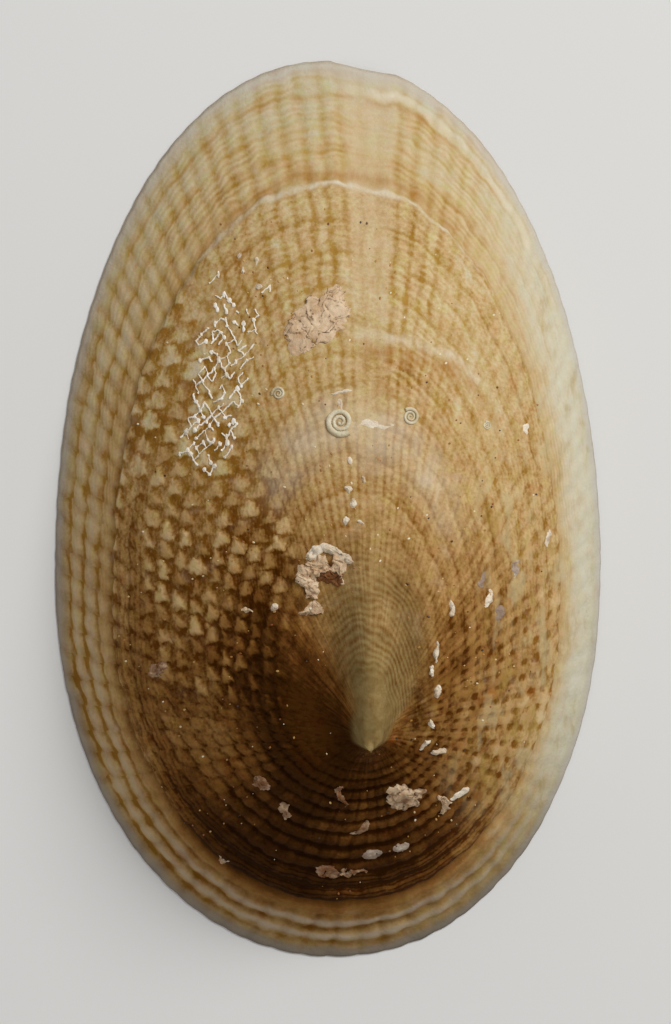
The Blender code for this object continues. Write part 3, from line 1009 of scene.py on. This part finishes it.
def shell_material(ribs):
    """Cream beads on golden brown, browner towards the apex, with a pale rim."""
    material, tree, surface = new_material("weathered_shell")
    rib_share, ladder, _ = parts_of(attribute(tree, "growth", "Vector"))
    facing = attribute(tree, "facing")
    side = attribute(tree, "side")
    place = object_place(tree)
    net_warp = 0.14 - 0.08 * smooth(facing, 0.8, 0.95)
    turned = parts_of(place)[::-1]
    rib = rib_share * ribs
    ring = calc("MINIMUM", ladder, 1.0)

    patches = noise(place, 130.0, 3.0)
    blots = noise(place, 520.0, 3.0)
    specks = noise(place, 1500.0, 3.0, 0.6)
    grain = noise(place, 4200.0, 3.0, 0.6)
    turn = rib_share * (2.0 * math.pi)
    cosine = calc("COSINE", turn)
    sine = calc("SINE", turn)
    streaks = noise(vector(tree, 24.0 * cosine, 24.0 * sine, ring * 6.0), 1.0, 4.0, 0.65)
    flecks = noise(vector(tree, 14.0 * cosine, 14.0 * sine, ring * 66.0), 1.0, 3.0, 0.6)
    bands = noise(vector(tree, 2.0 * cosine, 2.0 * sine, ring * 45.0), 1.0, 3.0, 0.6)
    rib = rib + net_warp * noise(place, 1700.0)
    ring = ring + net_warp * 0.035 * noise(vector(tree, *turned), 1700.0) * smooth(-side, -0.1, 0.4)
    net = Lattice(rib, ring, side, facing, place, ribs)
    brown = how_brown(net, ring)
    brown = brown + 0.08 * patches + 0.1 * blots
    brown = brown + streaks * net.share(0.12, 0.03, 0.12, 0.12) * (1.0 - net.rim)
    brown = brown + bands * net.share(0.16, 0.06, 0.1, 0.08)
    middle = smooth(net.rib, 0.0, 0.7) * smooth(net.cord, 0.0, 0.7) * (1.0 - 0.6 * net.rim)
    brown = brown - (net.chance - 0.4) * middle * net.share(0.1, 0.2, 0.12, 0.1) * (1.0 - net.toothed)
    brown = brown - net.toothed * net.tooth * (0.12 + 0.36 * (net.chance - 0.5))
    bead_colour = palette(brown, BEAD_COLOURS)
    pit_colour = palette(brown, PIT_COLOURS)
    banded = net.share(1.0, 1.0, 0.0, 0.6) + net.share(0.0, 0.0, 1.0, 0.4) * smooth(ring, 0.85, 0.875)
    rib_width = mix(net.rim, net.share(0.75, 0.5, 0.5, 0.7), net.share(0.8, 0.5, 0.6, 0.95))
    rib_groove = fade(net.rib / rib_width, 0.0, 1.0)
    cord_groove = fade(net.cord / net.share(0.4, 0.6, 0.6, 0.45), 0.0, 1.0)
    finer = crest(net.cord_count * 2.0)
    finest = 0.5 + 0.5 * calc("SINE", net.cord_count * (8.0 * math.pi) + 1.5 * patches)
    hairline = fade(crest(ring * 62.0), 0.0, 0.7)
    ribs_here = mix(net.rim, net.share(0.5, 0.0, 0.4, 0.1), net.share(0.4, 0.05, 0.3, 0.4) * banded)
    ribs_here = ribs_here * (1.0 - 0.8 * smooth(side, 0.0, 0.35))
    cords_here = mix(net.rim, net.share(0.35, 0.0, 1.35, 0.6), net.share(0.2, 0.0, 0.55, 1.0) * banded)
    lattice = (rib_groove * ribs_here + cord_groove * cords_here) * (1.0 - 0.9 * net.toothed)
    lattice = lattice + net.toothed * (0.7 - 1.0 * net.tooth + 0.5 * net.pit)
    lattice = lattice + (1.3 * net.pit - 0.35) * net.share(0.0, 0.65, 0.0, 0.0) * (1.0 - net.rim)
    lattice = lattice + (0.5 - finer) * net.share(0.0, 0.0, 0.2, 0.1)
    lattice = lattice + (0.5 - finest) * net.share(0.4, 0.0, 0.0, 0.0) * (0.6 + 1.2 * patches)
    lattice = lattice * (1.0 - 0.6 * net.slit) * (0.15 + 0.85 * net.shown) * (1.0 + 0.9 * blots)
    lattice = lattice + hairline * net.quiet * net.share(0.0, 0.1, 0.8, 0.4)
    east, north, _ = parts_of(place)
    mottles = noise(vector(tree, east, 0.45 * north, 0.0), 1100.0, 3.0, 0.6)
    speckle = specks * net.share(0.35, 0.8, 0.5, 0.9) + flecks * net.share(0.1, 0.1, 0.15, 0.2)
    speckle = speckle + 0.8 * streaks * (1.0 - net.shown) + mottles * net.share(0.4, 1.6, 0.3, 0.2)
    speckle = (speckle + 0.8 * grain) * (1.0 - 0.6 * net.rim)
    depth = net.share(0.25, 0.4, 0.15, 0.1) + lattice + speckle
    colour = blend(depth, bead_colour, pit_colour)
    hue = ramp(
        0.5 + 0.5 * noise(place, 1250.0, 3.0, 0.6),
        [
            (0.25, (1.0, 0.88, 0.84, 1.0)),
            (0.5, (1.0, 1.0, 1.0, 1.0)),
            (0.75, (0.95, 1.0, 0.76, 1.0)),
        ],
    )
    colour = tinted(colour, hue)
    pinkish = smooth(noise(place, 780.0, 2.0), 0.05, 0.7) * fade(brown, 0.3, 0.8)
    colour = blend(0.35 * pinkish, colour, paint(208, 184, 156))
    rusty = smooth(noise(vector(tree, north, 0.6 * east, 0.0), 700.0, 3.0, 0.65) + 0.3 * patches, 0.15, 0.5)
    rusty = rusty * net.share(0.3, 0.75, 0.4, 0.5) * (1.0 - net.rim)
    colour = blend(rusty, colour, tinted(colour, paint(232, 178, 96)))
    colour = blend(0.25 * net.slit * smooth(ring, 0.5, 0.7), colour, paint(214, 190, 158))

    # the right flank is mottled with cream and moss, and its rim is the whitest
    cloud = noise(vector(tree, north * 0.4, east, 0.0), 800.0, 3.0, 0.6)
    right = smooth(side, 0.1, 0.5) * smooth(facing, 0.1, 0.35) * smooth(ring, 0.4, 0.62)
    colour = blend(0.6 * right * smooth(cloud, 0.0, 0.3), colour, paint(190, 172, 128))
    colour = blend(0.5 * right * smooth(-cloud, 0.1, 0.35), colour, paint(164, 136, 66))
    chalky = smooth(ring + 0.05 * blots, 0.79, 0.92) * smooth(side, 0.1, 0.5) * smooth(facing, 0.2, 0.5)
    chalky = chalky * (0.55 + 0.7 * cloud - 0.3 * specks)
    colour = blend(chalky, colour, paint(214, 210, 190))

    # white and brown growth lines across the front
    front = smooth(facing, 0.93, 0.985) * fade(side, 0.12, 0.27)
    ahead = smooth(facing, 0.88, 0.97) * smooth(side, -0.12, 0.06) * fade(side, 0.2, 0.5)
    arc = ring - 0.12 * smooth(side, 0.0, 0.5)
    broken = calc("MAXIMUM", 0.5 + 0.9 * blots + 0.7 * streaks, 0.0)
    stain = hump(arc, 0.562, 0.014) * ahead + 0.9 * hump(ring, 0.824, 0.009) * front
    stain = stain + 0.6 * hump(ring, 0.948, 0.005) * front + 0.35 * hump(ring, 0.50, 0.006) * ahead
    colour = blend(0.8 * stain * broken, colour, paint(166, 112, 46))
    foremost = smooth(facing, 0.95, 0.985)
    white = hump(arc, 0.585, 0.009) * ahead + 1.3 * hump(ring, 0.805, 0.006) * front * foremost
    white = white + hump(ring, 0.963, 0.008) * smooth(facing, 0.93, 0.985) * smooth(side, -0.1, 0.05)
    cream = smooth(ring, 0.36, 0.435) * fade(ring, 0.45, 0.52) * smooth(facing, 0.94, 0.99)
    white = white + 0.6 * cream
    colour = blend(0.8 * white * broken, colour, paint(226, 216, 192))

    # the beak is olive, with fine growth rings
    rings = calc("SINE", ring * 560.0 + 4.0 * patches + 2.0 * blots) * smooth(ring, 0.06, 0.14)
    olive = attribute(tree, "cap")
    crown = fade(ring, 0.16, 0.36) * smooth(facing, 0.9, 0.99)
    olive = smooth(olive, 0.1, 0.75) * (0.55 + 0.4 * fade(ring, 0.05, 0.2))
    olive = calc("MAXIMUM", olive, crown * 0.5) * (0.9 + 0.5 * blots)
    olive_colour = blend(
        0.45 + 0.35 * rings + 0.6 * specks + 0.4 * blots, paint(154, 136, 90), paint(104, 74, 30)
    )
    colour = blend(olive, colour, olive_colour)

    # dark lines at the ledge, partly real growth lines and partly painted shade in the crease there, the
    # lilac edge, and a painted highlight and painted shade on the rim
    # painted shade, in part: the ledge lines are darkest on the back and left, where the crease under the
    # ledge lies in shade; the rest are real growth lines
    lines = hump(ring, LEDGE_LIP + 0.008, 0.005) + 0.6 * hump(ring, LEDGE_LIP - 0.012, 0.003)
    lines = lines + 0.5 * hump(ring, 0.752, 0.004)
    colour = blend(lines * net.share(0.05, 0.2, 0.6, 0.6), colour, paint(60, 36, 8))
    # painted highlight, in part: the cord crests on the back of the rim are paler where light catches their
    # tops, over their own pale colour
    knobs = smooth(net.cord, 0.35, 0.9) * net.share(0.1, 0.2, 0.75, 0.4) * smooth(ring, 0.85, 0.88)
    colour = blend(knobs * (0.5 + 0.5 * middle), colour, paint(204, 192, 176))
    edge = smooth(ring, 0.972, 0.992)
    colour = blend(edge * 0.6, colour, paint(200, 194, 186))
    # painted shade: the back and left of the rim, and its outer edge there, are darkened where the rim
    # turns down away from the light
    shade = smooth(ring, 0.83, 0.88) * (net.share(0.0, 0.04, 0.26, 0.08) + 0.16 * net.corner(1, 2))
    shade = shade + smooth(ring, 0.95, 0.975) * net.share(0.02, 0.1, 0.3, 0.3)
    kept = 1.0 - shade
    colour = tinted(colour, vector(tree, kept, kept, kept))

    tree.links.new(colour.socket, surface.inputs["Base Color"])
    tree.links.new((0.5 + 0.15 * specks).socket, surface.inputs["Roughness"])
    glints = smooth(grain + 0.6 * specks, 0.62, 0.8) * (1.0 - net.rim)
    tree.links.new((0.015 + 0.5 * glints).socket, surface.inputs["Specular IOR Level"])
    rough(surface, 0.03 * specks + 0.02 * grain)
    return material


def porcelain_material():
    """The smooth white lining of the shell, faintly clouded and glossy."""
    material, tree, surface = new_material("porcelain_lining")
    place = object_place(tree)
    clouds = smooth(noise(place, 60.0), -0.4, 0.6)
    colour = blend(clouds, paint(222, 217, 204), paint(238, 235, 228))
    tree.links.new(colour.socket, surface.inputs["Base Color"])
    surface.inputs["Roughness"].default_value = 0.28
    return material


def chalk_group():
    """Shader group: crumbly chalk that runs from one colour to another, with pin-holes."""
    group = bpy.data.node_groups.new("chalk", "ShaderNodeTree")
    for name, default in (("Pale", (0.8, 0.8, 0.8, 1.0)), ("Dark", (0.3, 0.3, 0.3, 1.0))):
        made = group.interface.new_socket(name, in_out="INPUT", socket_type="NodeSocketColor")
        made.default_value = default
    made = group.interface.new_socket("Holes", in_out="INPUT", socket_type="NodeSocketFloat")
    made.default_value = 0.5
    group.interface.new_socket("Colour", in_out="OUTPUT", socket_type="NodeSocketColor")
    group.interface.new_socket("Height", in_out="OUTPUT", socket_type="NodeSocketFloat")
    entry = group.nodes.new("NodeGroupInput")
    leave = group.nodes.new("NodeGroupOutput")
    place = object_place(group)
    cells = add(group, "ShaderNodeTexVoronoi", {"Vector": place, "Scale": 3200.0})
    holes = fade(out(cells, "Distance"), 0.12, 0.3) * smooth(noise(place, 1500.0), 0.0, 0.3)
    crumbs = noise(place, 1900.0, 4.0, 0.65)
    shade = 0.4 + 1.1 * noise(place, 750.0, 3.0, 0.6) + 0.7 * crumbs
    shade = shade + holes * out(entry, "Holes")
    colour = blend(shade, out(entry, "Pale"), out(entry, "Dark"))
    colour = blend(0.7 * holes * out(entry, "Holes"), colour, paint(84, 54, 34))
    height = 0.06 * crumbs - 0.05 * holes
    group.links.new(colour.socket, leave.inputs["Colour"])
    group.links.new(height.socket, leave.inputs["Height"])
    return group


def chalk_material(name):
    """A chalky growth; a high tone takes the colour of its centre, and soil browns its low edges."""
    material, tree, surface = new_material(name)
    pale, dark, holes, centre, soil = CHALKS[name]
    chalk = tree.nodes.new("ShaderNodeGroup")
    chalk.node_tree = bpy.data.node_groups.get("chalk") or chalk_group()
    for key, value in {"Pale": paint(*pale), "Dark": paint(*dark), "Holes": holes}.items():
        chalk.inputs[key].default_value = value
    place = object_place(tree)
    tone = attribute(tree, "tone") + 0.5 * noise(place, 1500.0, 3.0, 0.6)
    colour = blend(smooth(tone, 0.3, 0.9), out(chalk, "Colour"), paint(*centre))
    thickness = attribute(tree, "thickness") + 0.1 * noise(place, 2600.0, 3.0, 0.6)
    soiled = fade(thickness, -0.1, 0.03) * soil
    colour = blend(soiled, colour, tinted(colour, paint(206, 168, 118)))
    tree.links.new(colour.socket, surface.inputs["Base Color"])
    rough(surface, out(chalk, "Height"))
    surface.inputs["Roughness"].default_value = 0.55
    surface.inputs["Specular IOR Level"].default_value = 0.3
    return material


def grit_material():
    """Grains from near black through rust to cream, by their tone; the golden and cream ones are partly
    painted glints of light.
    """
    material, tree, surface = new_material("grit")
    tone = attribute(tree, "tone")
    place = object_place(tree)
    colour = palette(tone + 0.06 * noise(place, 9000.0), GRIT_AND_GLINT_COLOURS)
    tree.links.new(colour.socket, surface.inputs["Base Color"])
    surface.inputs["Roughness"].default_value = 0.35
    return material


def floor_material(colour):
    material, _, surface = new_material("studio_floor")
    surface.inputs["Base Color"].default_value = (*colour, 1.0)
    surface.inputs["Roughness"].default_value = 0.8
    return material


# ---------------------------------------------------------------- settings


class LimpetShellSettings(bpy.types.PropertyGroup):
    """Sizes of the shell."""

    ribs: IntProperty(name="Ribs", description="Ribs round the margin", default=94, min=8)
    columns: IntProperty(name="Columns", description="Mesh columns round the shell", default=740)
    rows: IntProperty(name="Rows", description="Mesh rows from apex to margin", default=114)
    rib_height: FloatProperty(
        name="Rib height", description="Groove to crest at the margin", default=0.14 * MM, unit="LENGTH"
    )
    cord_height: FloatProperty(
        name="Cord height", description="Groove to crest of a cord", default=0.16 * MM, unit="LENGTH"
    )


class LimpetGrowthSettings(bpy.types.PropertyGroup):
    """Sizes of what grows on the shell."""

    coil_turns: FloatProperty(name="Coil turns", description="Turns of each worm tube", default=2.3)
    thread_thickness: FloatProperty(
        name="Thread thickness", description="Radius of a lace thread", default=0.045 * MM, unit="LENGTH"
    )
    grit_density: FloatProperty(
        name="Grit density", description="Grains to a square metre where it is worn", default=900000.0
    )


class LimpetStageSettings(bpy.types.PropertyGroup):
    """Camera, lamps and floor."""

    camera_height: FloatProperty(
        name="Camera height", description="Height of the lens over the floor", default=0.30, unit="LENGTH"
    )
    key_power: FloatProperty(
        name="Key power", description="Power of the main lamp", default=1.65, unit="POWER"
    )
    fill: FloatProperty(name="Fill", description="Strength of the light from all round", default=0.4)
    floor_colour: FloatVectorProperty(
        name="Floor colour", description="Colour of the floor", subtype="COLOR", default=(0.8, 0.79, 0.77)
    )


# ---------------------------------------------------------------- operators


class LIMPET_OT_shell(bpy.types.Operator):
    """Grow the shell and give it its weathered finish"""

    bl_idname = "limpet.shell"
    bl_label = "Grow shell"

    def execute(self, context):
        settings = context.scene.limpet_shell
        ribs = float(settings.ribs)
        values = {
            "Columns": settings.columns,
            "Outer rows": settings.rows,
            "Ribs": ribs,
            "Rib height": settings.rib_height,
            "Cord height": settings.cord_height,
            "Outside": shell_material(ribs),
            "Inside": porcelain_material(),
        }
        piece = grown("beaded_shell", growth_tree(), values, bpy.data.meshes.new("nothing"))
        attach(piece, "root")
        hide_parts("shell")
        return {"FINISHED"}


def add_growth(name, tree, values, seeds=()):
    """Grows a piece on the shell, on seeds in growth coordinates or on none."""
    ribs = bpy.context.scene.limpet_shell.ribs
    values["Shell"] = bpy.data.objects["beaded_shell"]
    piece = grown(name, tree, values, seed_mesh(name + "_seeds", ribs, seeds))
    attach(piece, "root")


class LIMPET_OT_crusts(bpy.types.Operator):
    """Add the pinkish tan crusts and the white flecks"""

    bl_idname = "limpet.crusts"
    bl_label = "Add crusts and flecks"

    def execute(self, context):
        values = {"Detail": 5, "Material": chalk_material("tan_crust")}
        add_growth("crusts", lumps_tree(), values, CRUSTS)
        values = {"Detail": 4, "Raggedness": 0.4 * MM, "Material": chalk_material("white_chalk")}
        add_growth("white_flecks", lumps_tree(), values, FLECKS)
        return {"FINISHED"}


class LIMPET_OT_worms(bpy.types.Operator):
    """Add the coiled worm tubes"""

    bl_idname = "limpet.worms"
    bl_label = "Add worm tubes"

    def execute(self, context):
        turns = context.scene.limpet_growth.coil_turns
        values = {"Turns": turns, "Material": chalk_material("worm_chalk")}
        add_growth("worm_tubes", worms_tree(), values, WORMS)
        return {"FINISHED"}


class LIMPET_OT_threads(bpy.types.Operator):
    """Add the torn lace of threads on the left flank"""

    bl_idname = "limpet.threads"
    bl_label = "Add threads"

    def execute(self, context):
        values = {
            "Middle": (LACE_RIB / context.scene.limpet_shell.ribs, LACE_RING, 0.0),
            "Thickness": context.scene.limpet_growth.thread_thickness,
            "Material": chalk_material("lace_chalk"),
        }
        add_growth("lace_threads", threads_tree(), values)
        return {"FINISHED"}


class LIMPET_OT_grit(bpy.types.Operator):
    """Strew grit over the worn part of the shell"""

    bl_idname = "limpet.grit"
    bl_label = "Strew grit"

    def execute(self, context):
        density = context.scene.limpet_growth.grit_density
        add_growth("grit", grit_tree(), {"Density": density, "Material": grit_material()})
        return {"FINISHED"}


class LIMPET_OT_stage(bpy.types.Operator):
    """Set up the floor, the lamps and the camera"""

    bl_idname = "limpet.stage"
    bl_label = "Set stage"

    def execute(self, context):
        settings = context.scene.limpet_stage
        make_floor(settings)
        make_lamps(context.scene, settings)
        make_camera(context.scene, settings)
        return {"FINISHED"}


def make_floor(settings):
    bpy.ops.mesh.primitive_plane_add(size=2.0)
    floor = bpy.context.object
    floor.name = "floor"
    floor.data.materials.append(floor_material(settings.floor_colour))


def make_lamps(scene, settings):
    """One large soft lamp from the front right, and even light from all round."""
    lamp = bpy.data.lights.new("key", "AREA")
    lamp.shape = "DISK"
    lamp.size = 0.25
    lamp.energy = settings.key_power
    key = bpy.data.objects.new("key", lamp)
    key.location = KEY_PLACE
    key.rotation_euler = (-Vector(KEY_PLACE)).to_track_quat("-Z", "Y").to_euler()
    scene.collection.objects.link(key)
    world = bpy.data.worlds.new("studio")
    world.use_nodes = True
    background = world.node_tree.nodes["Background"]
    background.inputs["Color"].default_value = (1.0, 1.0, 1.0, 1.0)
    background.inputs["Strength"].default_value = settings.fill
    scene.world = world
    scene.view_settings.view_transform = "Standard"


def make_camera(scene, settings):
    """Straight above the shell, with the shell a little left of the middle."""
    lens = bpy.data.cameras.new("camera")
    lens.sensor_fit = "VERTICAL"
    lens.sensor_height = 24.0
    lens.lens = lens.sensor_height * settings.camera_height * SHELL_SHARE / LENGTH
    lens.clip_start = 0.01
    camera = bpy.data.objects.new("camera", lens)
    camera.location = (*CAMERA_SHIFT, settings.camera_height)
    scene.collection.objects.link(camera)
    scene.camera = camera


class LIMPET_PT_panel(bpy.types.Panel):
    """Buttons that build the shell step by step"""

    bl_label = "Slit limpet shell"
    bl_idname = "LIMPET_PT_panel"
    bl_space_type = "VIEW_3D"
    bl_region_type = "UI"
    bl_category = "Limpet"

    def draw(self, context):
        layout = self.layout
        for operator in OPERATORS:
            layout.operator(operator.bl_idname)
        for group in [getattr(context.scene, name) for name in SETTINGS]:
            for name in group.bl_rna.properties.keys():
                if name not in ("rna_type", "name"):
                    layout.prop(group, name)


OPERATORS = (
    LIMPET_OT_shell,
    LIMPET_OT_crusts,
    LIMPET_OT_worms,
    LIMPET_OT_threads,
    LIMPET_OT_grit,
    LIMPET_OT_stage,
)
SETTINGS = {
    "limpet_shell": LimpetShellSettings,
    "limpet_growth": LimpetGrowthSettings,
    "limpet_stage": LimpetStageSettings,
}


def register():
    for cls in (*SETTINGS.values(), *OPERATORS, LIMPET_PT_panel):
        bpy.utils.register_class(cls)
    for name, cls in SETTINGS.items():
        setattr(bpy.types.Scene, name, PointerProperty(type=cls))


def unregister():
    for name in SETTINGS:
        delattr(bpy.types.Scene, name)
    for cls in (LIMPET_PT_panel, *OPERATORS, *SETTINGS.values()):
        bpy.utils.unregister_class(cls)


def main():
    register()
    for operator in OPERATORS:
        group, name = operator.bl_idname.split(".")
        getattr(getattr(bpy.ops, group), name)()


if __name__ == "__main__":
    main()
